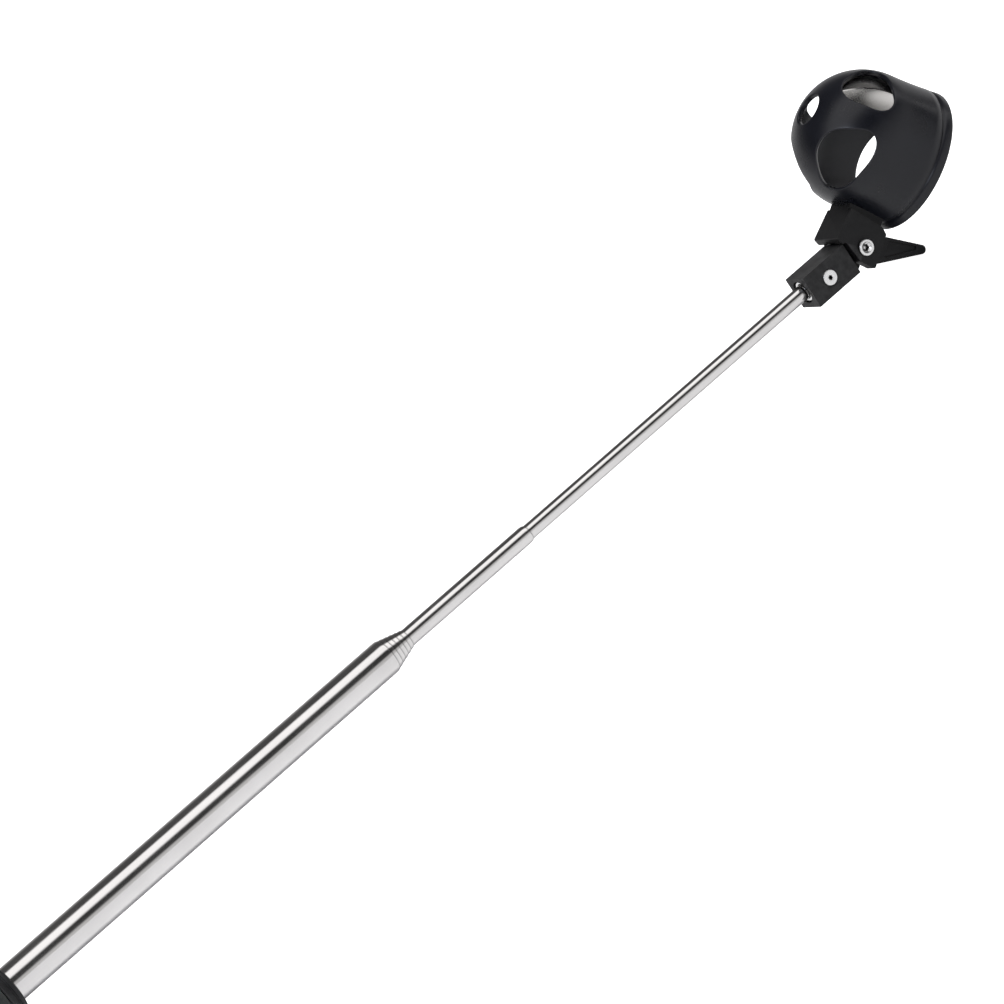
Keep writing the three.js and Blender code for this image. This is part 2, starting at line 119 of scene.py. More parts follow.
def turned(name, rows, steps, mapping, closed=False):
    # rows are (along, radius), where radius may be a function of the angle;
    # mapping takes the axis X to where the piece lies
    points, faces = [], []
    for along, radius in rows:
        for j in range(steps):
            angle = 2 * math.pi * j / steps
            reach = radius(angle) if callable(radius) else radius
            points.append(mapping @ Vector((along, reach * math.cos(angle), reach * math.sin(angle))))
    count = len(rows)
    for i in range(count if closed else count - 1):
        for j in range(steps):
            a, b = i * steps + j, i * steps + (j + 1) % steps
            nextRow = ((i + 1) % count) * steps
            faces.append((a, b, nextRow + (j + 1) % steps, nextRow + j))
    if not closed:
        for row in (0, count - 1):
            hub = len(points)
            points.append(mapping @ Vector((rows[row][0], 0, 0)))
            base = row * steps
            faces += [(base + j, base + (j + 1) % steps, hub) for j in range(steps)]
    return meshFrom(name, points, faces)


def plate(name, outline, low, high):
    # an outline in the plane of X and Z, filled from y = low to y = high
    count = len(outline)
    points = [(x, y, z) for y in (low, high) for x, z in outline]
    faces = [tuple(range(count)), tuple(range(2 * count - 1, count - 1, -1))]
    faces += [(i, (i + 1) % count, count + (i + 1) % count, count + i) for i in range(count)]
    return makeObject(name, meshFrom(name, points, faces))


def combine(base, others, operation):
    for other in others:
        step = base.modifiers.new("step", "BOOLEAN")
        step.operation = operation
        step.solver = "EXACT"
        step.object = other
        baked(base)
        bpy.data.objects.remove(other)
    return base


def soften(thing, width, segments=3, angle=30):
    work = bmesh.new()
    work.from_mesh(thing.data)
    bmesh.ops.remove_doubles(work, verts=work.verts, dist=1e-6)
    bmesh.ops.dissolve_limit(work, angle_limit=math.radians(1), verts=work.verts, edges=work.edges)
    work.to_mesh(thing.data)
    work.free()
    bevel = thing.modifiers.new("soften", "BEVEL")
    bevel.width = width
    bevel.segments = segments
    bevel.limit_method = "ANGLE"
    bevel.angle_limit = math.radians(angle)
    bevel.use_clamp_overlap = True
    bevel.miter_outer = "MITER_ARC"
    evened = thing.modifiers.new("evened", "WEIGHTED_NORMAL")
    evened.mode = "FACE_AREA"
    evened.keep_sharp = True
    thing.data.shade_smooth()
    return baked(thing)


def acrossAt(x, z):
    # takes the axis X to a line along Y through this place
    return Matrix.Translation((x, 0, z)) @ Matrix.Rotation(math.radians(90), 4, "Z")


def rod(name, radius, low, high, x, z, steps=48):
    return makeObject(name, turned(name, [(low, radius), (high, radius)], steps, acrossAt(x, z)))


def rounded(outline, radius, steps=5):
    # the corners of an outline, each made an arc of this radius, or less where a side is short
    result = []
    count = len(outline)
    for i in range(count):
        here = Vector(outline[i])
        before = Vector(outline[i - 1]) - here
        after = Vector(outline[(i + 1) % count]) - here
        reach = min(radius, 0.45 * before.length, 0.45 * after.length)
        start = here + before.normalized() * reach
        end = here + after.normalized() * reach
        for j in range(steps + 1):
            t = j / steps
            result.append(tuple((1 - t) ** 2 * start + 2 * t * (1 - t) * here + t ** 2 * end))
    return result


# Shared shader groups

def newGroup(name, inputs, outputs):
    group = bpy.data.node_groups.new(name, "ShaderNodeTree")
    for label, kind, default in inputs:
        socket = group.interface.new_socket(name=label, in_out="INPUT", socket_type=kind)
        socket.default_value = default
    for label, kind in outputs:
        group.interface.new_socket(name=label, in_out="OUTPUT", socket_type=kind)
    return group, group.nodes.new("NodeGroupInput"), group.nodes.new("NodeGroupOutput")


def grainGroup():
    # the fine moulded texture of the plastic pieces, with soft cloudy patches
    group, given, out = newGroup(
        "mouldedGrain",
        [("Vector", "NodeSocketVector", (0, 0, 0)), ("Grain size", "NodeSocketFloat", 1800.0),
         ("Cloud size", "NodeSocketFloat", 60.0)],
        [("Height", "NodeSocketFloat"), ("Cloud", "NodeSocketFloat")])
    nodes, links = group.nodes, group.links
    fine = nodes.new("ShaderNodeTexNoise")
    fine.inputs["Detail"].default_value = 3
    cloud = nodes.new("ShaderNodeTexNoise")
    cloud.inputs["Detail"].default_value = 4
    links.new(given.outputs["Vector"], fine.inputs["Vector"])
    links.new(given.outputs["Grain size"], fine.inputs["Scale"])
    links.new(given.outputs["Vector"], cloud.inputs["Vector"])
    links.new(given.outputs["Cloud size"], cloud.inputs["Scale"])
    links.new(fine.outputs["Fac"], out.inputs["Height"])
    links.new(cloud.outputs["Fac"], out.inputs["Cloud"])
    return group


def drawnGroup():
    # long hairlines along X, as a drawn and polished tube has
    group, given, out = newGroup(
        "drawnLines",
        [("Vector", "NodeSocketVector", (0, 0, 0)), ("Fineness", "NodeSocketFloat", 900.0)],
        [("Lines", "NodeSocketFloat"), ("Smudge", "NodeSocketFloat")])
    nodes, links = group.nodes, group.links
    stretch = nodes.new("ShaderNodeMapping")
    stretch.inputs["Scale"].default_value = (0.02, 1, 1)
    lines = nodes.new("ShaderNodeTexNoise")
    lines.inputs["Detail"].default_value = 4
    smudge = nodes.new("ShaderNodeTexNoise")
    smudge.inputs["Scale"].default_value = 55
    smudge.inputs["Detail"].default_value = 5
    links.new(given.outputs["Vector"], stretch.inputs["Vector"])
    links.new(stretch.outputs["Vector"], lines.inputs["Vector"])
    links.new(given.outputs["Fineness"], lines.inputs["Scale"])
    links.new(given.outputs["Vector"], smudge.inputs["Vector"])
    links.new(lines.outputs["Fac"], out.inputs["Lines"])
    links.new(smudge.outputs["Fac"], out.inputs["Smudge"])
    return group


def wearGroup():
    # brighter along the outside corners, broken up by noise
    group, given, out = newGroup(
        "edgeWear",
        [("Vector", "NodeSocketVector", (0, 0, 0)), ("Low", "NodeSocketFloat", 0.51),
         ("High", "NodeSocketFloat", 0.62)],
        [("Mask", "NodeSocketFloat")])
    nodes, links = group.nodes, group.links
    shape = nodes.new("ShaderNodeNewGeometry")
    spread = nodes.new("ShaderNodeMapRange")
    noise = nodes.new("ShaderNodeTexNoise")
    noise.inputs["Scale"].default_value = 420
    both = nodes.new("ShaderNodeMath")
    both.operation = "MULTIPLY"
    links.new(shape.outputs["Pointiness"], spread.inputs["Value"])
    links.new(given.outputs["Low"], spread.inputs["From Min"])
    links.new(given.outputs["High"], spread.inputs["From Max"])
    links.new(given.outputs["Vector"], noise.inputs["Vector"])
    links.new(spread.outputs["Result"], both.inputs[0])
    links.new(noise.outputs["Fac"], both.inputs[1])
    links.new(both.outputs["Value"], out.inputs["Mask"])
    return group


groups = {"grain": grainGroup(), "drawn": drawnGroup(), "wear": wearGroup()}


def placeGroup(tree, group, values):
    node = tree.nodes.new("ShaderNodeGroup")
    node.node_tree = groups[group]
    for label, value in values.items():
        node.inputs[label].default_value = value
    coordinates = tree.nodes.new("ShaderNodeTexCoord")
    tree.links.new(coordinates.outputs["Object"], node.inputs["Vector"])
    return node


def rangeOf(tree, source, low, high, fromLow=0.3, fromHigh=0.7):
    node = tree.nodes.new("ShaderNodeMapRange")
    node.inputs["From Min"].default_value = fromLow
    node.inputs["From Max"].default_value = fromHigh
    node.inputs["To Min"].default_value = low
    node.inputs["To Max"].default_value = high
    tree.links.new(source, node.inputs["Value"])
    return node.outputs["Result"]


def mixColours(tree, mask, first, second):
    node = tree.nodes.new("ShaderNodeMix")
    node.data_type = "RGBA"
    node.inputs[6].default_value = (*first, 1)
    node.inputs[7].default_value = (*second, 1)
    tree.links.new(mask, node.inputs[0])
    return node.outputs[2]


def bumpFrom(tree, height, strength, distance):
    node = tree.nodes.new("ShaderNodeBump")
    node.inputs["Strength"].default_value = strength
    node.inputs["Distance"].default_value = distance
    tree.links.new(height, node.inputs["Height"])
    return node.outputs["Normal"]


def newMaterial(name):
    material = bpy.data.materials.new(name)
    material.use_nodes = True
    return material, material.node_tree, material.node_tree.nodes["Principled BSDF"]


def plasticMaterial(name, finish):
    material, tree, shader = newMaterial(name)
    sizes = {"Grain size": finish["grainSize"], "Cloud size": finish["cloudSize"]}
    grain = placeGroup(tree, "grain", sizes)
    wear = placeGroup(tree, "wear", {})
    base = mixColours(tree, rangeOf(tree, grain.outputs["Cloud"], 0, 1), finish["dark"], finish["light"])
    worn = tree.nodes.new("ShaderNodeMix")
    worn.data_type = "RGBA"
    worn.inputs[7].default_value = (*finish["worn"], 1)
    tree.links.new(wear.outputs["Mask"], worn.inputs[0])
    tree.links.new(base, worn.inputs[6])
    tree.links.new(worn.outputs[2], shader.inputs["Base Color"])
    tree.links.new(
        rangeOf(tree, grain.outputs["Cloud"], finish["rough"][0], finish["rough"][1]),
        shader.inputs["Roughness"])
    normal = bumpFrom(tree, grain.outputs["Height"], finish["bump"], finish["bumpDepth"])
    tree.links.new(normal, shader.inputs["Normal"])
    shader.inputs["Specular IOR Level"].default_value = finish.get("specular", 0.5)
    if "sheen" in finish:
        shader.inputs["Sheen Weight"].default_value = finish["sheen"]
        shader.inputs["Sheen Roughness"].default_value = 0.5
    return material


def metalMaterial(name, finish):
    material, tree, shader = newMaterial(name)
    drawn = placeGroup(tree, "drawn", {"Fineness": finish["fineness"]})
    shader.inputs["Metallic"].default_value = 1
    colour = mixColours(tree, rangeOf(tree, drawn.outputs["Smudge"], 0, 1), finish["dark"], finish["light"])
    if "paintedShade" in finish:
        # painted shade: the base colour goes dark where ambient occlusion finds narrow gaps and grooves
        near = tree.nodes.new("ShaderNodeAmbientOcclusion")
        near.inputs["Distance"].default_value = finish["paintedShade"]
        near.samples = 12
        paintedShade = tree.nodes.new("ShaderNodeMix")
        paintedShade.data_type = "RGBA"
        paintedShade.inputs[6].default_value = (0.05, 0.05, 0.05, 1)
        tree.links.new(rangeOf(tree, near.outputs["AO"], 0, 1, 0.68, 0.96), paintedShade.inputs[0])
        tree.links.new(colour, paintedShade.inputs[7])
        colour = paintedShade.outputs[2]
    tree.links.new(colour, shader.inputs["Base Color"])
    both = tree.nodes.new("ShaderNodeMath")
    both.operation = "ADD"
    tree.links.new(rangeOf(tree, drawn.outputs["Lines"], *finish["rough"]), both.inputs[0])
    tree.links.new(rangeOf(tree, drawn.outputs["Smudge"], 0, finish["smudge"]), both.inputs[1])
    tree.links.new(both.outputs["Value"], shader.inputs["Roughness"])
    normal = bumpFrom(tree, drawn.outputs["Lines"], finish["bump"], 0.00002)
    tree.links.new(normal, shader.inputs["Normal"])
    return material


finishes = {
    "scoop": {"dark": (0.004, 0.0045, 0.007), "light": (0.0065, 0.007, 0.0105), "worn": (0.05, 0.05, 0.055),
              "grainSize": 2600.0, "cloudSize": 70.0, "rough": (0.25, 0.34), "bump": 0.10,
              "bumpDepth": 0.00004, "specular": 0.4},
    "hinge": {"dark": (0.003, 0.003, 0.0034), "light": (0.006, 0.006, 0.0065), "worn": (0.04, 0.04, 0.04),
              "grainSize": 2000.0, "cloudSize": 110.0, "rough": (0.38, 0.5), "bump": 0.28,
              "bumpDepth": 0.00006, "specular": 0.22},
    "lever": {"dark": (0.003, 0.003, 0.0034), "light": (0.006, 0.006, 0.0066), "worn": (0.04, 0.04, 0.042),
              "grainSize": 2200.0, "cloudSize": 120.0, "rough": (0.34, 0.44), "bump": 0.2,
              "bumpDepth": 0.00005, "specular": 0.22},
    "trim": {"dark": (0.005, 0.005, 0.0055), "light": (0.012, 0.012, 0.0125), "worn": (0.05, 0.05, 0.05),
             "grainSize": 1500.0, "cloudSize": 160.0, "rough": (0.3, 0.5), "bump": 0.3,
             "bumpDepth": 0.00008, "specular": 0.3},
    "grip": {"dark": (0.003, 0.003, 0.003), "light": (0.040, 0.046, 0.043), "worn": (0.08, 0.085, 0.08),
             "grainSize": 1100.0, "cloudSize": 210.0, "rough": (0.55, 0.85), "bump": 0.6,
             "bumpDepth": 0.0002, "sheen": 0.1, "specular": 0.3},
    "nylon": {"dark": (0.70, 0.68, 0.60), "light": (0.80, 0.78, 0.71), "worn": (0.86, 0.85, 0.80),
              "grainSize": 1500.0, "cloudSize": 200.0, "rough": (0.4, 0.55), "bump": 0.1,
              "bumpDepth": 0.00005},
}
# tube and zinc take one more value: how far the ambient occlusion reaches that paints shade into their gaps
# and grooves
metals = {
    "tube": {"dark": (0.76, 0.745, 0.73), "light": (0.83, 0.815, 0.80), "fineness": 1500.0,
             "rough": (0.1, 0.17), "smudge": 0.05, "bump": 0.12, "paintedShade": 0.0009},
    "zinc": {"dark": (0.80, 0.80, 0.79), "light": (0.90, 0.90, 0.89), "fineness": 4000.0,
             "rough": (0.2, 0.34), "smudge": 0.08, "bump": 0.2, "paintedShade": 0.0012},
    "leaf": {"dark": (0.72, 0.70, 0.67), "light": (0.80, 0.78, 0.75), "fineness": 2500.0,
             "rough": (0.2, 0.24), "smudge": 0.06, "bump": 0.0},
    "ring": {"dark": (0.88, 0.88, 0.87), "light": (0.95, 0.95, 0.94), "fineness": 3000.0,
             "rough": (0.12, 0.2), "smudge": 0.05, "bump": 0.05},
}
plastics = {name: plasticMaterial(name + "Plastic", finish) for name, finish in finishes.items()}
steels = {name: metalMaterial(name + "Metal", finish) for name, finish in metals.items()}
print("materials made:", len(plastics) + len(steels))


def place(piece, body, slot, *nodes):
    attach(piece, body)
    if nodes:
        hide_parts(*nodes)


# Pole: each section is a thin drawn tube with its end swaged in on the next one

tube = {"wall": 0.35 * mm, "play": 0.04 * mm, "neck": 1.3 * mm, "roll": 0.12 * mm, "edge": 0.05 * mm,
        "flare": 0.17 * mm, "flareDepth": 0.3 * mm, "steps": 96}
poleFrame = Matrix.Identity(4)


def tubeSize(k):
    low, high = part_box(f"tube_section_{k}")
    return low[0], high[0], (high[2] - low[2]) / 2


def makeTube(k):
    start, end, radius = tubeSize(k)
    bore = radius - tube["wall"]
    if k < sectionCount:
        neckInside = tubeSize(k + 1)[2] + tube["play"]
        neckOutside = neckInside + tube["wall"]
        easing = [(end - tube["neck"] * (1 - t), radius + (neckOutside - radius) * t * t * (3 - 2 * t))
                  for t in (i / 5 for i in range(5))]
        lipCentre = (end - tube["roll"], neckOutside - tube["roll"])
        rows = [(start, bore), (start, radius - tube["edge"]), (start + tube["edge"], radius)]
        rows += easing + arc(lipCentre, tube["roll"], 90, 0, 4)
        rows += [(end, neckInside + tube["flare"]), (end - tube["flareDepth"], neckInside)]
        rows += [(end - 2 * tube["flareDepth"], neckInside), (end - tube["neck"], bore)]
    else:
        rows = [(start, bore), (start, radius), (end, radius), (end, bore)]
    mesh = turned(f"poleSection{k}", rows, tube["steps"], poleFrame, closed=True)
    piece = finishMesh(f"poleSection{k}", mesh, steels["tube"], 28)
    place(piece, "handle" if k == 1 else f"section_{k}", "polished_tube", f"tube_section_{k}")


for k in range(1, sectionCount + 1):
    makeTube(k)
print("pole made")


# Grip: rubber sleeve with rows of small pebbles, a front collar and a butt cap

grip = {"steps": 96, "rows": 60, "bore": 6.75 * mm, "waist": 1.0 * mm, "waistAt": 0.62, "waistSpan": 0.16,
        "taper": 1.3 * mm, "taperFrom": 0.88, "endRound": 0.9 * mm}
pebbles = {"size": (1.05 * mm, 0.95 * mm, 0.34 * mm), "along": 2.9 * mm, "round": 30, "margin": 4 * mm,
           "sink": 0.05 * mm, "spread": 0.25}


def gripRadius(x, low, high, radius):
    # a gentle waist for the fingers, and a taper to the collar
    t = (x - low) / (high - low)
    waist = grip["waist"] * math.exp(-((t - grip["waistAt"]) / grip["waistSpan"]) ** 2)
    front = grip["taper"] * max(0, (t - grip["taperFrom"]) / (1 - grip["taperFrom"])) ** 2
    return radius - waist - front


def makeSleeve():
    low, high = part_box("grip_sleeve")
    start, end, radius = low[0], high[0], (high[2] - low[2]) / 2 - pebbles["size"][2] * 0.8
    ease = grip["endRound"]
    rows = [(start, grip["bore"]), (start, radius - 0.8 * mm), (start + ease / 3, radius - ease / 3)]
    for i in range(grip["rows"] + 1):
        x = start + ease + (end - start - 2 * ease) * i / grip["rows"]
        rows.append((x, gripRadius(x, start, end, radius)))
    last = rows[-1][1]
    rows += [(end - ease / 3, last - ease / 3), (end, last - ease), (end, grip["bore"])]
    mesh = turned("gripSleeve", rows, grip["steps"], poleFrame, closed=True)
    piece = finishMesh("gripSleeve", mesh, plastics["grip"], 40)
    place(piece, "handle", "grip_rubber", "grip_sleeve")
    return start, end, radius


def pebbleTree():
    tree = bpy.data.node_groups.new("pebbleRows", "GeometryNodeTree")
    face = tree.interface
    face.new_socket(name="Geometry", in_out="INPUT", socket_type="NodeSocketGeometry")
    size = face.new_socket(name="Pebble size", in_out="INPUT", socket_type="NodeSocketVector")
    spread = face.new_socket(name="Size spread", in_out="INPUT", socket_type="NodeSocketFloat")
    skin = face.new_socket(name="Material", in_out="INPUT", socket_type="NodeSocketMaterial")
    face.new_socket(name="Geometry", in_out="OUTPUT", socket_type="NodeSocketGeometry")
    nodes, links = tree.nodes, tree.links
    given, out = nodes.new("NodeGroupInput"), nodes.new("NodeGroupOutput")
    ball = nodes.new("GeometryNodeMeshIcoSphere")
    ball.inputs["Radius"].default_value = 1
    ball.inputs["Subdivisions"].default_value = 2
    facing = nodes.new("GeometryNodeInputNamedAttribute")
    facing.data_type = "FLOAT_VECTOR"
    facing.inputs["Name"].default_value = "facing"
    turn = nodes.new("FunctionNodeAlignRotationToVector")
    turn.axis = "Z"
    vary = nodes.new("FunctionNodeRandomValue")
    vary.data_type = "FLOAT"
    vary.inputs["Seed"].default_value = 7
    low = nodes.new("ShaderNodeMath")
    low.operation = "SUBTRACT"
    low.inputs[0].default_value = 1
    scale = nodes.new("ShaderNodeVectorMath")
    scale.operation = "SCALE"
    scatter = nodes.new("GeometryNodeInstanceOnPoints")
    real = nodes.new("GeometryNodeRealizeInstances")
    smooth = nodes.new("GeometryNodeSetShadeSmooth")
    paint = nodes.new("GeometryNodeSetMaterial")
    links.new(given.outputs["Geometry"], scatter.inputs["Points"])
    links.new(ball.outputs["Mesh"], scatter.inputs["Instance"])
    links.new(facing.outputs["Attribute"], turn.inputs["Vector"])
    links.new(turn.outputs["Rotation"], scatter.inputs["Rotation"])
    links.new(given.outputs["Size spread"], low.inputs[1])
    links.new(low.outputs["Value"], vary.inputs[2])
    vary.inputs[3].default_value = 1
    links.new(given.outputs["Pebble size"], scale.inputs[0])
    links.new(vary.outputs[1], scale.inputs["Scale"])
    links.new(scale.outputs["Vector"], scatter.inputs["Scale"])
    links.new(scatter.outputs["Instances"], real.inputs["Geometry"])
    links.new(real.outputs["Geometry"], smooth.inputs["Geometry"])
    links.new(smooth.outputs["Geometry"], paint.inputs["Geometry"])
    links.new(given.outputs["Material"], paint.inputs["Material"])
    links.new(paint.outputs["Geometry"], out.inputs["Geometry"])
    return tree, {"size": size.identifier, "spread": spread.identifier, "skin": skin.identifier}


scatterTree, scatterInputs = pebbleTree()


def scattered(name, points, normals, size, spread, material):
    # one small stud at each point, standing along its normal
    mesh = bpy.data.meshes.new(name)
    mesh.from_pydata([tuple(point) for point in points], [], [])
    facing = mesh.attributes.new("facing", "FLOAT_VECTOR", "POINT")
    for item, normal in zip(facing.data, normals):
        item.vector = normal
    thing = makeObject(name, mesh)
    stud = thing.modifiers.new("studs", "NODES")
    stud.node_group = scatterTree
    stud[scatterInputs["size"]] = size
    stud[scatterInputs["spread"]] = spread
    stud[scatterInputs["skin"]] = material
    return baked(thing)


def makePebbles(start, end, radius):
    # rows round the sleeve, every other one turned by half a step
    points, normals = [], []
    rows = int((end - start - 2 * pebbles["margin"]) / pebbles["along"])
    for i in range(rows):
        x = start + pebbles["margin"] + i * pebbles["along"]
        reach = gripRadius(x, start, end, radius) - pebbles["sink"]
        for j in range(pebbles["round"]):
            angle = 2 * math.pi * (j + 0.5 * (i % 2)) / pebbles["round"]
            out = Vector((0, math.cos(angle), math.sin(angle)))
            points.append(Vector((x, 0, 0)) + out * reach)
            normals.append(out)
    piece = scattered("gripPebbles", points, normals, pebbles["size"], pebbles["spread"], plastics["grip"])
    place(piece, "handle", "grip_rubber")


cap = {"hole": 4 * mm, "groove": (6.2 * mm, 7.8 * mm), "grooveDepth": 0.35 * mm, "grooveSlope": 0.4 * mm,
       "backRound": 1.8 * mm, "frontRound": 0.6 * mm, "ribs": 40, "rib": (2.0 * mm, 0.45 * mm, 0.3 * mm),
       "ribStand": 0.25 * mm}


def makeCap():
    low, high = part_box("grip_butt_cap")
    start, end, radius = low[0], high[0], (high[2] - low[2]) / 2 - cap["ribStand"]
    floor, slope = start + cap["grooveDepth"], cap["grooveSlope"]
    first, last = cap["groove"]
    back, front = cap["backRound"], cap["frontRound"]
    rows = [(start, cap["hole"]), (start, first), (floor, first + slope), (floor, last - slope)]
    rows += [(start, last), (start, radius - back)]
    rows += arc((start + back, radius - back), back, 180, 90, 8)[1:]
    rows += [(end - front, radius)] + arc((end - front, radius - front), front, 90, 0, 5)[1:]
    piece = finishMesh("buttCap", turned("buttCap", rows, grip["steps"], poleFrame), plastics["trim"], 40)
    place(piece, "handle", "grip_trim", "grip_butt_cap")
    middle = Vector(((start + end) / 2 + 0.5 * mm, 0, 0))
    turns = (2 * math.pi * j / cap["ribs"] for j in range(cap["ribs"]))
    normals = [Vector((0, math.cos(angle), math.sin(angle))) for angle in turns]
    points = [middle + out * (radius - pebbles["sink"]) for out in normals]
    ribs = scattered("capRibs", points, normals, cap["rib"], 0, plastics["trim"])
    place(ribs, "handle", "grip_trim")


collar = {"front": 10.6 * mm, "groove": 0.5 * mm, "noseBack": 1.9 * mm, "nose": 1.75 * mm}


def makeCollar():
    low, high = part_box("grip_front_collar")
    start, end, back = low[0], high[0], (high[2] - low[2]) / 2
    front = collar["front"]
    rows = [(start, grip["bore"]), (start, back - 0.4 * mm), (start + 0.35 * mm, back - 0.15 * mm)]
    rows += [(start + 1.0 * mm, back - 0.6 * mm), (start + 1.9 * mm, front - 0.1 * mm)]
    rows += arc((start + 2.6 * mm, front), collar["groove"], 200, 340, 6)
    rows += arc((end - collar["noseBack"], front - 1.8 * mm), collar["nose"], 90, 0, 10)
    rows += [(end - 0.15 * mm, grip["bore"] + 0.5 * mm), (end - 0.45 * mm, grip["bore"])]
    rows = [(x, min(r, back - 0.1 * mm)) for x, r in rows]
    mesh = turned("gripCollar", rows, grip["steps"], poleFrame, closed=True)
    piece = finishMesh("gripCollar", mesh, plastics["trim"], 50)
    place(piece, "handle", "grip_trim", "grip_front_collar")


makePebbles(*makeSleeve())
makeCap()
makeCollar()
print("grip made")


# Hinge block: a square bar with a tongue, a flared socket for the pole and a cross screw

block = {"half": 6.2 * mm, "pivotGap": 5.9 * mm, "tongue": 3.0 * mm, "tongueRoot": 2 * mm,
         "noseRadius": 4.2 * mm, "socket": 3.03 * mm, "socketDepth": 13.2 * mm, "mouth": 4.6 * mm,
         "mouthDepth": 2 * mm, "screwBack": 9.5 * mm, "screwHeight": -0.5 * mm, "screwHole": 1.5 * mm,
         "counterbore": 3.1 * mm, "seatDepth": 0.9 * mm, "pivotHole": 1.6 * mm, "round": 0.4 * mm}
blockScrew = {"radius": 2.9 * mm, "height": 0.2 * mm, "socket": 1.6 * mm, "inner": 1.0 * mm,
              "across": 1.6 * mm, "dish": 0.12 * mm, "shank": 1.25 * mm}
blockNut = {"height": 1.5 * mm, "across": 5.0 * mm, "bore": 1.35 * mm}
screwEdge = 0.3 * mm
nutGap = 0.1 * mm
past = 9 * mm  # holes are cut from beyond the faces


def makeBlock():
    low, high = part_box("hinge_block")
    back, bottom, top = low[0], low[2], high[2]
    half = block["half"]
    front = pivot.x - block["pivotGap"]
    bar = plate("hingeBlock", [(back, bottom), (front, bottom), (front, top), (back, top)], -half, half)
    reach, root = block["noseRadius"], front - block["tongueRoot"]
    nose = arc((pivot.x, 0), reach, -90, 90, 24)
    tongue = plate("tongue", [(root, -reach)] + nose + [(root, reach)], -block["tongue"], block["tongue"])
    combine(bar, [tongue], "UNION")
    step = back + block["mouthDepth"]
    mouthRows = [(back - mm, block["mouth"]), (step, block["mouth"])]
    mouthRows += [(step, block["socket"]), (back + block["socketDepth"], block["socket"])]
    socket = makeObject("socket", turned("socket", mouthRows, 64, poleFrame))
    screwX, screwZ = back + block["screwBack"], block["screwHeight"]
    seat = -half + block["seatDepth"]
    cutters = [socket, rod("screwHole", block["screwHole"], -past, past, screwX, screwZ),
               rod("headSeat", block["counterbore"], -past, seat, screwX, screwZ),
               rod("pivotHole", block["pivotHole"], -past, past, pivot.x, 0)]
    combine(bar, cutters, "DIFFERENCE")
    soften(bar, block["round"])
    piece = finishMesh("hingeBlock", bar.data, plastics["hinge"], 40)
    bpy.data.objects.remove(bar)
    place(piece, "section_8", "hinge_plastic", "hinge_block")
    return screwX


def hexagon(across):
    # the reach of a hexagon's side at an angle, from its width across flats
    def reach(angle):
        turn = (angle + math.pi / 6) % (math.pi / 3) - math.pi / 6
        return across / 2 / math.cos(turn)
    return reach


def makeScrew(name, x, z, face, shankEnd, head):
    # the head stands on the face at y = face and looks towards -Y
    top = face - head["height"]
    edge = head["radius"] - screwEdge
    deep = top + head["socket"]
    rows = [(deep, 0.2 * mm), (deep, hexagon(head["across"] * 0.94))]
    rows += [(top + head["dish"], hexagon(head["across"])), (top + head["dish"] * 0.4, head["inner"])]
    rows += [(top, head["inner"] + 0.18 * mm), (top, edge)]
    rows += [(top + screwEdge - screwEdge * math.cos(a), edge + screwEdge * math.sin(a))
             for a in (0.4, 0.8, 1.2, 1.57)]
    rows += [(face, head["radius"]), (face, head["shank"]), (shankEnd, head["shank"])]
    return finishMesh(name, turned(name, rows, 96, acrossAt(x, z)), steels["zinc"], 30)


def makeNut(name, x, z, low, nut):
    outside = hexagon(nut["across"])
    high, bore = low + nut["height"], nut["bore"]

    def shoulder(angle):
        # the chamfer cuts the hexagon's corners back
        return min(outside(angle), nut["across"] / 2 * 1.06)

    rows = [(low, bore), (low, outside), (high - 0.3 * mm, outside), (high, shoulder),
            (high, bore + 0.25 * mm), (high - 0.25 * mm, bore)]
    return finishMesh(name, turned(name, rows, 96, acrossAt(x, z), closed=True), steels["zinc"], 30)


def makeBlockFasteners(x):
    half, z = block["half"], block["screwHeight"]
    screw = makeScrew("blockScrew", x, z, -half + 0.05 * mm, half + 1.7 * mm, blockScrew)
    place(screw, "section_8", "fastener", "block_screw")
    nut = makeNut("blockNut", x, z, half + nutGap, blockNut)
    place(nut, "section_8", "fastener", "block_nut")


ferrule = {"play": 0.08 * mm, "bulge": 0.55 * mm}


def makeFerrule():
    low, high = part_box("tube_ferrule")
    start, end, outside = low[0], high[0], (high[2] - low[2]) / 2
    bore = tubeSize(sectionCount)[2] + ferrule["play"]
    bulge, thick = ferrule["bulge"], outside - bore
    rows = [(start + bulge - bulge * math.cos(a), (bore + outside) / 2 + thick / 2 * math.sin(a))
            for a in (math.radians(t) for t in range(-90, 91, 15))]
    rows += [(end, outside), (end, bore)]
    mesh = turned("tubeFerrule", rows, 96, poleFrame, closed=True)
    place(finishMesh("tubeFerrule", mesh, steels["ring"], 40), "section_8", "fastener", "tube_ferrule")


makeBlockFasteners(makeBlock())
makeFerrule()
print("hinge block made")


# Scoop cup: a dome with four windows and a crown hole, a short skirt and a turned-out lip.
# It is worked out in its own frame: z to the crown, x to the retaining leaf.

cup = {"centre": (26.4 * mm, 29.0 * mm), "tilt": 57, "radius": 25.5 * mm, "wall": 2.0 * mm,
       "skirt": 21.5 * mm, "lip": 1.1 * mm, "lipRound": 0.8 * mm, "insideRound": 0.9 * mm,
       "crownHole": 5.8 * mm, "crownShift": 2.3 * mm, "crownSteps": 60, "rows": 34, "columns": 144,
       "windowSteps": 90, "windowCorner": 0.095, "edgeMargin": 0.6 * mm, "clearance": 0.5 * mm,
       "round": 0.7 * mm, "roundInside": 0.35 * mm,
       # the crease above the lip: height over the mouth and bulge, in mm
       "crease": [(4.6, 0.1), (4.2, 0.16), (3.9, 0.4), (3.5, 0.75), (3.0, 0.9)]}
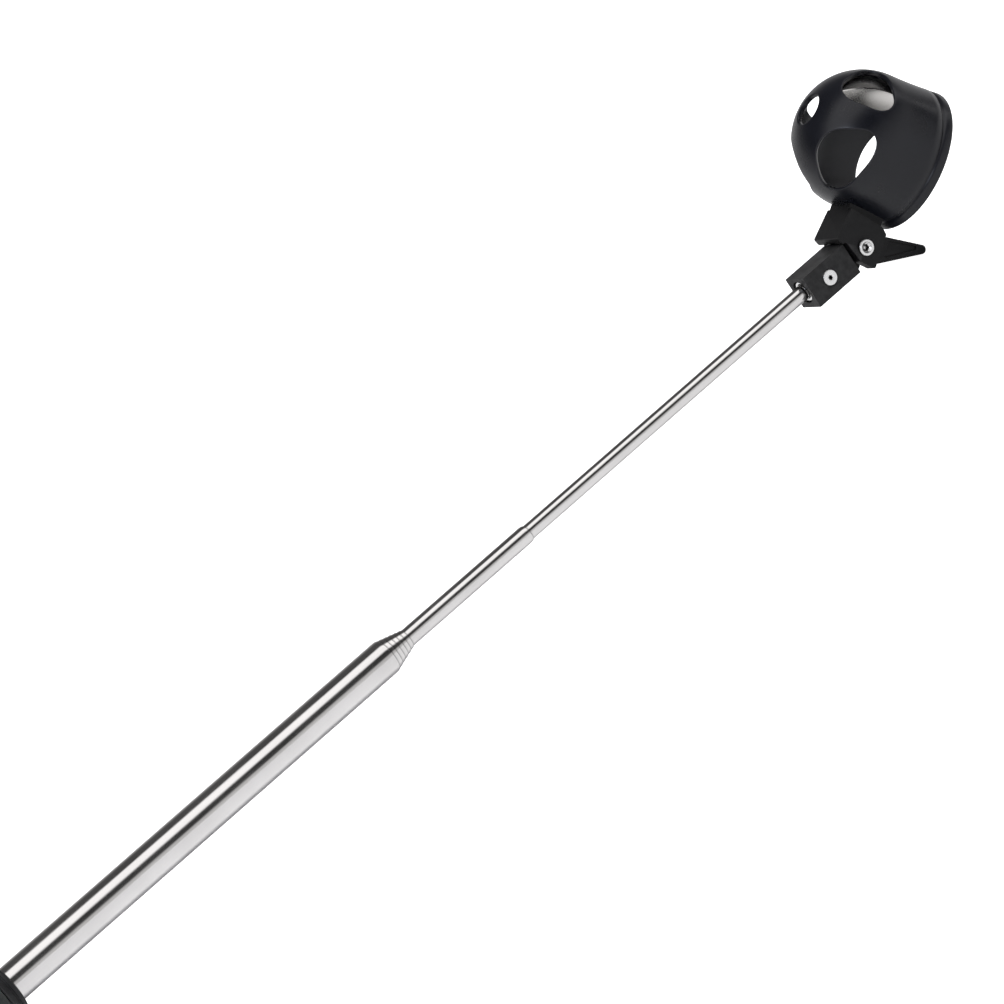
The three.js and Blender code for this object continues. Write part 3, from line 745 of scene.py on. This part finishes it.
# each window: azimuth, polar and tip angles in degrees, then half its width and height
windows = [(46, 61.5, -6, 10.95 * mm, 8.85 * mm), (130.5, 55.8, 4.2, 12.8 * mm, 9.0 * mm)]
notch = {"middle": -3 * mm, "half": 17 * mm, "depth": 6.9 * mm, "from": 6 * mm, "ease": 2.5 * mm}
tilt = math.radians(cup["tilt"])
toCrown = Vector((-math.cos(tilt), 0, math.sin(tilt)))
toLeaf = Vector((math.sin(tilt), 0, math.cos(tilt)))
cupFrame = Matrix((toLeaf, toCrown.cross(toLeaf), toCrown)).transposed().to_4x4()
cupFrame.translation = pivot + Vector((cup["centre"][0], 0, cup["centre"][1]))


def outwardAt(polar, turn):
    return Vector((math.sin(polar) * math.cos(turn), math.sin(polar) * math.sin(turn), math.cos(polar)))


def circle(radius, height, count):
    turns = (2 * math.pi * i / count for i in range(count))
    return [Vector((radius * math.cos(a), radius * math.sin(a), height)) for a in turns]


def bridge(first, second):
    # the faces between two closed loops of points
    count = len(first)
    return [[first[i], first[(i + 1) % count], second[(i + 1) % count], second[i]] for i in range(count)]


def windowAxes(window, side):
    turn = math.radians(side * window[0])
    outward = outwardAt(math.radians(window[1]), turn)
    sideways = Vector((-math.sin(turn), math.cos(turn), 0))
    return sideways, outward.cross(sideways), outward


def windowOutline(window, side, offset):
    # the window's edge in its own plane, moved out by offset
    _, _, tip, halfWide, halfHigh = window
    spin = Matrix.Rotation(math.radians(side * tip), 2)
    corner = cup["windowCorner"]
    points = []
    for i in range(cup["windowSteps"]):
        turn = 2 * math.pi * i / cup["windowSteps"]
        reach = 1 + corner * math.cos(3 * turn)
        slope = -3 * corner * math.sin(3 * turn)
        stepA = -halfWide * (slope * math.sin(turn) + reach * math.cos(turn))
        stepB = halfHigh * (slope * math.cos(turn) - reach * math.sin(turn))
        out = Vector((stepB, -stepA)).normalized()
        point = Vector((-halfWide * reach * math.sin(turn), halfHigh * reach * math.cos(turn)))
        points.append(spin @ (point + out * offset))
    return points


def inside(point, outline):
    hit = False
    for i in range(len(outline)):
        p, q = outline[i - 1], outline[i]
        if (p.y > point.y) != (q.y > point.y):
            if point.x < (q.x - p.x) * (point.y - p.y) / (q.y - p.y) + p.x:
                hit = not hit
    return hit


def flat(point):
    # the dome laid flat: distance from the crown as an angle, and the azimuth
    polar = math.atan2(math.hypot(point.x, point.y), point.z)
    turn = math.atan2(point.y, point.x)
    return Vector((polar * math.cos(turn), polar * math.sin(turn)))


def domeSkin(radius, rounding, sign):
    # one side of the dome, with rounded window edges; sign is 1 outside and -1 inside
    points, plan, edges, loops, guards = [], [], [], [], []
    offsets = [rounding * t for t in (0, 0.12, 0.3, 0.52, 0.76, 1)] + [rounding + cup["edgeMargin"]]
    clear = offsets[-1] + cup["clearance"]

    def drop(offset):
        return rounding - math.sqrt(max(0, rounding ** 2 - max(0, rounding - offset) ** 2))

    def addLoop(loop, drops=Vector((0, 0, 0))):
        base = len(points)
        plan.extend(flat(point) for point in loop)
        points.extend(point - drops for point in loop)
        edges.extend((base + i, base + (i + 1) % len(loop)) for i in range(len(loop)))
        return list(range(base, base + len(loop)))

    for offset in offsets:
        loop = []
        for x, y, _ in circle(cup["crownHole"] + offset, 0, cup["crownSteps"]):
            x += cup["crownShift"]
            loop.append(Vector((x, y, math.sqrt(radius ** 2 - x * x - y * y))))
        ids = addLoop(loop, Vector((0, 0, sign * drop(offset))))
        if offset == 0:
            loops.append(ids)
    for window, side in ((window, side) for window in windows for side in (1, -1)):
        sideways, upward, outward = windowAxes(window, side)
        for offset in offsets:
            loop = []
            for a, b in windowOutline(window, side, offset):
                height = math.sqrt(radius ** 2 - a * a - b * b)
                loop.append(sideways * a + upward * b + outward * height)
            ids = addLoop(loop, outward * sign * drop(offset))
            if offset == 0:
                loops.append(ids)
        guards.append((sideways, upward, outward, windowOutline(window, side, clear)))
    # the skin's own points, kept clear of the openings
    for i in range(cup["rows"] + 1):
        polar = math.pi / 2 * i / cup["rows"]
        reach = radius * math.sin(polar)
        if reach < mm:
            continue
        ring = circle(reach, radius * math.cos(polar), cup["columns"])
        if i == cup["rows"]:
            rim = addLoop(ring)
            continue
        for point in ring:
            blocked = math.hypot(point.x - cup["crownShift"], point.y) < cup["crownHole"] + clear
            for sideways, upward, outward, outline in guards:
                if point.dot(outward) > 0:
                    blocked = blocked or inside(Vector((point.dot(sideways), point.dot(upward))), outline)
            if not blocked:
                points.append(point)
                plan.append(flat(point))
    verts, _, faces, origin, _, _ = delaunay_2d_cdt(plan, edges, [], 0, 1e-7)
    holes = [[plan[i] for i in loop] for loop in loops]
    back = [ids[0] for ids in origin]
    kept = []
    for face in faces:
        centre = sum((verts[i] for i in face), Vector((0, 0))) / len(face)
        if any(inside(centre, hole) for hole in holes):
            continue
        kept.append([back[i] for i in face])
    return points, kept, loops, rim


def notched(point):
    # the skirt's far side ends in a shallow arch, so its rows are drawn up to it
    across = (point.x - notch["middle"]) / notch["half"]
    if point.z >= 0 or point.y < notch["from"] or abs(across) >= 1:
        return point
    share = min(1, (point.y - notch["from"]) / notch["ease"])
    rise = notch["depth"] * math.sqrt(1 - across * across) * share
    return Vector((point.x, point.y, point.z * (1 - rise / cup["skirt"])))


def makeCup():
    outer, inner = cup["radius"], cup["radius"] - cup["wall"]
    points, faces, loops, rim = domeSkin(outer, cup["round"], 1)
    shift = len(points)
    more, moreFaces, moreLoops, moreRim = domeSkin(inner, cup["roundInside"], -1)
    points += more
    faces += [[i + shift for i in face] for face in moreFaces]
    for first, second in zip(loops, moreLoops):
        faces += bridge(first, [i + shift for i in second])
    # the skirt's section: down the outside, round the lip and up the inside
    mouth = -cup["skirt"]
    lip, lipRound, insideRound = outer + cup["lip"], cup["lipRound"], cup["insideRound"]
    rows = [(-2 * mm * i, outer + 0.012 * mm * i * i) for i in range(1, 9)]
    rows += [(mouth + up * mm, outer + bulge * mm) for up, bulge in cup["crease"]]
    rows += [(z, r) for r, z in arc((lip - lipRound, mouth + 1.0 * mm), lipRound, 0, -90, 7)]
    rows += [(z, r) for r, z in arc((inner + insideRound, mouth + insideRound), insideRound, -90, -180, 6)]
    rows += [(mouth + up * mm, inner) for up in (3, 7, 11, 15, 19)]
    previous = rim
    for z, r in rows:
        ring = list(range(len(points), len(points) + cup["columns"]))
        points += circle(r, z, cup["columns"])
        faces += bridge(previous, ring)
        previous = ring
    faces += bridge(previous, [i + shift for i in moreRim])
    points = [cupFrame @ notched(p) for p in points]
    return finishMesh("scoopCup", meshFrom("scoopCup", points, faces), plastics["scoop"], 50)


place(makeCup(), "scoop", "scoop_plastic", "scoop_cup")
print("cup made")


# Fork: two cheeks and a web under the cup, that straddle the tongue

fork = {"half": 8.2 * mm, "slot": 3.3 * mm, "neck": 6.4 * mm, "neckSink": 1.1 * mm, "neckReach": 6.2 * mm,
        "neckSpan": (0.5 * mm, -14.5 * mm), "corner": 0.7 * mm, "bore": 1.6 * mm, "round": 0.5 * mm,
        # outlines from the pivot, in mm
        "cheek": [(4, 14.8), (-7.5, 9.6), (-6.9, 6.5), (-5.3, 6.3), (-4.5, -3.1), (-1.2, -8.6),
                  (8.7, -2.3), (10, -1.8), (10.3, 1.3)],
        "slotShape": [(-14, 4.1), (3, 11.8), (11.8, 0.6), (30, -10), (10, -30), (-14, -30)]}
pivotScrew = {"radius": 3.0 * mm, "height": 1.2 * mm, "socket": 1.9 * mm, "inner": 1.95 * mm,
              "across": 2.4 * mm, "dish": 0.9 * mm, "shank": 1.5 * mm}
pivotNut = {"height": 1.8 * mm, "across": 5.2 * mm, "bore": 1.6 * mm}


def fromPivot(outline):
    return [(pivot.x + x * mm, z * mm) for x, z in outline]


def makeFork():
    cheeks = rounded(fromPivot(fork["cheek"]), fork["corner"])
    body = plate("fork", cheeks, -fork["half"], fork["half"])
    near = cup["radius"] - fork["neckSink"]
    far = near + fork["neckReach"]
    high, low = fork["neckSpan"]
    corners = [(-near, high), (-far, high), (-far, low), (-near, low)]
    placed = [cupFrame @ Vector((x, 0, z)) for x, z in corners]
    neck = plate("neck", [(p.x, p.z) for p in placed], -fork["neck"], fork["neck"])
    combine(body, [neck], "UNION")
    slot = plate("slot", fromPivot(fork["slotShape"]), -fork["slot"], fork["slot"])
    bore = rod("bore", fork["bore"], -12 * mm, 12 * mm, pivot.x, 0)
    combine(body, [slot, bore], "DIFFERENCE")
    soften(body, fork["round"])
    piece = finishMesh("scoopFork", body.data, plastics["hinge"], 40)
    bpy.data.objects.remove(body)
    place(piece, "scoop", "scoop_plastic")
    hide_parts("scoop_cup")


def makeForkFasteners():
    half = fork["half"]
    screw = makeScrew("pivotScrew", pivot.x, 0, -half - nutGap, half + 2 * mm, pivotScrew)
    place(screw, "scoop", "fastener", "pivot_screw")
    nut = makeNut("pivotNut", pivot.x, 0, half + nutGap, pivotNut)
    place(nut, "scoop", "fastener", "pivot_nut")


makeFork()
makeForkFasteners()
print("fork made")


# Release lever: a tapered tab with a raised border round a sunk panel

lever = {"half": 2.5 * mm, "panelDepth": 0.6 * mm, "panelCorner": 0.8 * mm, "pinHole": 0.9 * mm,
         "round": 0.3 * mm,
         # outlines from the head's pivot, in mm
         "upper": [(7.9, 0.3), (12.1, -3.9)], "tip": (21.8, -16.8), "tipRadius": 1.7,
         "lower": [(3, -9.5), (2, -6.6), (4.6, -2.7), (5.2, -0.2)],
         "panel": [(12.4, -6.0), (20.6, -14.4), (19.8, -15.4), (6.9, -9.5)]}


def makeLever():
    half = lever["half"]
    outline = lever["upper"] + arc(lever["tip"], lever["tipRadius"], 42, -114, 12) + lever["lower"]
    body = plate("lever", fromPivot(outline), -half, half)
    panel = rounded(fromPivot(lever["panel"]), lever["panelCorner"])
    depth = half - lever["panelDepth"]
    sunk = [plate("sunkNear", panel, -half - mm, -depth), plate("sunkFar", panel, depth, half + mm)]
    hole = rod("pinHole", lever["pinHole"], -6 * mm, 6 * mm, leverPivot.x, leverPivot.z)
    combine(body, sunk + [hole], "DIFFERENCE")
    soften(body, lever["round"])
    piece = finishMesh("releaseLever", body.data, plastics["lever"], 40)
    bpy.data.objects.remove(body)
    place(piece, "lever", "lever_plastic", "release_lever")


makeLever()
print("lever made")


# Retaining leaf: a thin polished spring inside the cup, that leans in towards the mouth

leaf = {"gap": 0.5 * mm, "thick": 0.5 * mm, "half": 40, "crownSide": 36, "mouthSide": -16 * mm, "lean": 4,
        "rivetPolar": 42, "rivetSpread": 11, "corner": 0.16, "columns": 48}
leafRadius = cup["radius"] - cup["wall"] - leaf["gap"] - leaf["thick"] / 2


def makeLeaf():
    polar, spread = math.radians(leaf["rivetPolar"]), math.radians(leaf["rivetSpread"])
    hinge = Vector((leafRadius * math.sin(polar) * math.cos(spread), 0, leafRadius * math.cos(polar)))
    lean = Matrix.Translation(hinge) @ Matrix.Rotation(math.radians(leaf["lean"]), 4, "Y")
    lean = cupFrame @ lean @ Matrix.Translation(-hinge)
    # the leaf's middle line from the crown's side to the mouth, then its width at each point
    track = [(leafRadius * math.cos(a), leafRadius * math.sin(a))
             for a in (math.radians((90 - leaf["crownSide"]) * i / 24) for i in range(24, -1, -1))]
    track += [(leafRadius, leaf["mouthSide"] * i / 12) for i in range(1, 13)]
    columns = leaf["columns"]
    points, faces = [], []
    for i, (reach, height) in enumerate(track):
        edge = min(1, (i + 2) / 8, (len(track) + 1 - i) / 6)
        half = math.radians(leaf["half"]) * (1 - leaf["corner"] * (1 - edge) ** 2)
        for j in range(columns + 1):
            angle = half * (2 * j / columns - 1)
            points.append(lean @ Vector((reach * math.cos(angle), reach * math.sin(angle), height)))
    for i in range(len(track) - 1):
        for j in range(columns):
            a = i * (columns + 1) + j
            faces.append((a, a + 1, a + columns + 2, a + columns + 1))
    thing = makeObject("retainingLeaf", meshFrom("retainingLeaf", points, faces))
    wall = thing.modifiers.new("wall", "SOLIDIFY")
    wall.thickness = leaf["thick"]
    wall.offset = 0
    baked(thing)
    piece = finishMesh("retainingLeaf", thing.data, steels["leaf"], 40)
    bpy.data.objects.remove(thing)
    place(piece, "leaf", "spring_steel", "retaining_leaf")


makeLeaf()


rivet = {"head": 1.8 * mm, "headHeight": 0.6 * mm, "headRound": 0.35 * mm, "shank": 0.9 * mm,
         "shankTop": -0.7 * mm, "gap": 0.35 * mm}


def makeRivets():
    # blind in the wall, with the heads on the leaf
    seat = -cup["wall"] - leaf["gap"] - leaf["thick"] - rivet["gap"]
    for hand, side in (("left", 1), ("right", -1)):
        out = outwardAt(math.radians(leaf["rivetPolar"]), math.radians(side * leaf["rivetSpread"]))
        facing = out.to_track_quat("X", "Z").to_matrix().to_4x4()
        mapping = cupFrame @ Matrix.Translation(out * cup["radius"]) @ facing
        rows = [(seat - rivet["headHeight"], 1.2 * mm), (seat - rivet["headRound"], 1.75 * mm)]
        rows += [(seat, rivet["head"]), (seat, rivet["shank"]), (rivet["shankTop"], rivet["shank"])]
        mesh = turned("leafRivet", rows, 40, mapping)
        piece = finishMesh(f"leafRivet{hand.capitalize()}", mesh, steels["zinc"], 40)
        place(piece, "scoop", "fastener", f"leaf_rivet_{hand}")


makeRivets()
print("leaf made")


# CAD pieces that are right as they are take a finish

carried = {"lever_pin": ("zinc", "fastener"), "lever_spring": ("zinc", "spring_steel"),
           "tube_end_insert": ("zinc", "fastener"), "butt_plug": ("nylon", "bush_nylon")}
for k in range(2, sectionCount + 1):
    carried[f"section_bush_{k}"] = ("nylon", "bush_nylon")
for node, (finish, slot) in carried.items():
    thing = frame["nodes"][node]
    thing.data.materials.clear()
    thing.data.materials.append(steels.get(finish) or plastics[finish])


# Floor, light and camera

studio = {"floorSize": 6.0, "floorDrop": 0.2 * mm, "floorTone": 0.8, "floorGlow": 1.0, "sky": 1.0,
          # brightness of the sky by its angle round the pole:
          # 0 is level on the camera's side, 90 straight up and 180 level on the far side
          "bands": [(-180, 0.45), (-10, 0.6), (12, 0.55), (21, 0.04), (44, 0.035), (56, 1.15), (89, 1.2),
                    (98, 0.06), (140, 0.08), (158, 0.3), (170, 0.6), (180, 0.6)],
          "camera": (-0.0839, -1.2333, 0.4144), "aim": (0.3763, 0.0, 0.0147), "roll": 34.77, "lens": 142.6}
lights = {"fillLight": {"spot": (0.4, -0.3, 1.8), "aim": (0.4, 0, 0), "size": (0.8, 0.8), "power": 18,
                        "tint": (1, 1, 1), "mirrored": False},
          "keyLight": {"spot": (-0.5, -0.9, 0.9), "aim": (0.5, 0, 0), "size": (0.5, 0.5), "power": 5,
                       "tint": (0.78, 0.84, 1.0), "mirrored": True}}


def makeFloor():
    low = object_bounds()[0][2] - studio["floorDrop"]
    half = studio["floorSize"] / 2
    mesh = bpy.data.meshes.new("floor")
    mesh.from_pydata([(-half, -half, low), (half, -half, low), (half, half, low), (-half, half, low)], [],
                     [(0, 1, 2, 3)])
    material, tree, shader = newMaterial("floorPale")
    tone = studio["floorTone"]
    shader.inputs["Base Color"].default_value = (tone, tone, tone, 1)
    shader.inputs["Roughness"].default_value = 0.9
    rays = tree.nodes.new("ShaderNodeLightPath")
    glow = tree.nodes.new("ShaderNodeMath")
    glow.operation = "MULTIPLY"
    glow.inputs[1].default_value = studio["floorGlow"]
    tree.links.new(rays.outputs["Is Camera Ray"], glow.inputs[0])
    tree.links.new(glow.outputs[0], shader.inputs["Emission Strength"])
    shader.inputs["Emission Color"].default_value = (1, 1, 1, 1)
    mesh.materials.append(material)
    makeObject("floor", mesh)


def makeLight(name, kind):
    light = bpy.data.lights.new(name, "AREA")
    light.shape = "RECTANGLE"
    light.size, light.size_y = kind["size"]
    light.energy = kind["power"]
    light.color = kind["tint"]
    thing = bpy.data.objects.new(name, light)
    bpy.context.scene.collection.objects.link(thing)
    thing.visible_glossy = kind["mirrored"]
    thing.location = kind["spot"]
    look = Vector(kind["aim"]) - Vector(kind["spot"])
    thing.rotation_euler = look.to_track_quat("-Z", "Y").to_euler()


def makeSky():
    world = bpy.data.worlds.new("studioSky")
    bpy.context.scene.world = world
    world.use_nodes = True
    tree = world.node_tree
    back = tree.nodes["Background"]
    where = tree.nodes.new("ShaderNodeTexCoord")
    parts = tree.nodes.new("ShaderNodeSeparateXYZ")
    front = tree.nodes.new("ShaderNodeMath")
    front.operation = "MULTIPLY"
    front.inputs[1].default_value = -1
    turn = tree.nodes.new("ShaderNodeMath")
    turn.operation = "ARCTAN2"
    share = tree.nodes.new("ShaderNodeMapRange")
    share.inputs["From Min"].default_value = -math.pi
    share.inputs["From Max"].default_value = math.pi
    ramp = tree.nodes.new("ShaderNodeValToRGB")
    ramp.color_ramp.interpolation = "EASE"
    stops = ramp.color_ramp.elements
    while len(stops) < len(studio["bands"]):
        stops.new(0.5)
    for stop, (angle, level) in zip(stops, studio["bands"]):
        stop.position = (angle + 180) / 360
        stop.color = (level, level * 0.99, level, 1)
    tree.links.new(where.outputs["Generated"], parts.inputs[0])
    tree.links.new(parts.outputs["Y"], front.inputs[0])
    tree.links.new(parts.outputs["Z"], turn.inputs[0])
    tree.links.new(front.outputs[0], turn.inputs[1])
    tree.links.new(turn.outputs[0], share.inputs["Value"])
    tree.links.new(share.outputs["Result"], ramp.inputs["Fac"])
    tree.links.new(ramp.outputs["Color"], back.inputs["Color"])
    back.inputs["Strength"].default_value = studio["sky"]


def makeCamera():
    view = bpy.data.cameras.new("camera")
    view.lens = studio["lens"]
    view.sensor_width = 36
    view.clip_end = 50
    thing = bpy.data.objects.new("camera", view)
    bpy.context.scene.collection.objects.link(thing)
    look = Vector(studio["aim"]) - Vector(studio["camera"])
    turn = look.to_track_quat("-Z", "Y").to_matrix().to_4x4()
    roll = Matrix.Rotation(math.radians(-studio["roll"]), 4, "Z")
    thing.matrix_world = Matrix.Translation(studio["camera"]) @ turn @ roll
    bpy.context.scene.camera = thing


makeFloor()
makeSky()
for name, kind in lights.items():
    makeLight(name, kind)
makeCamera()
bpy.context.scene.view_settings.view_transform = "Standard"

print("scene ready")
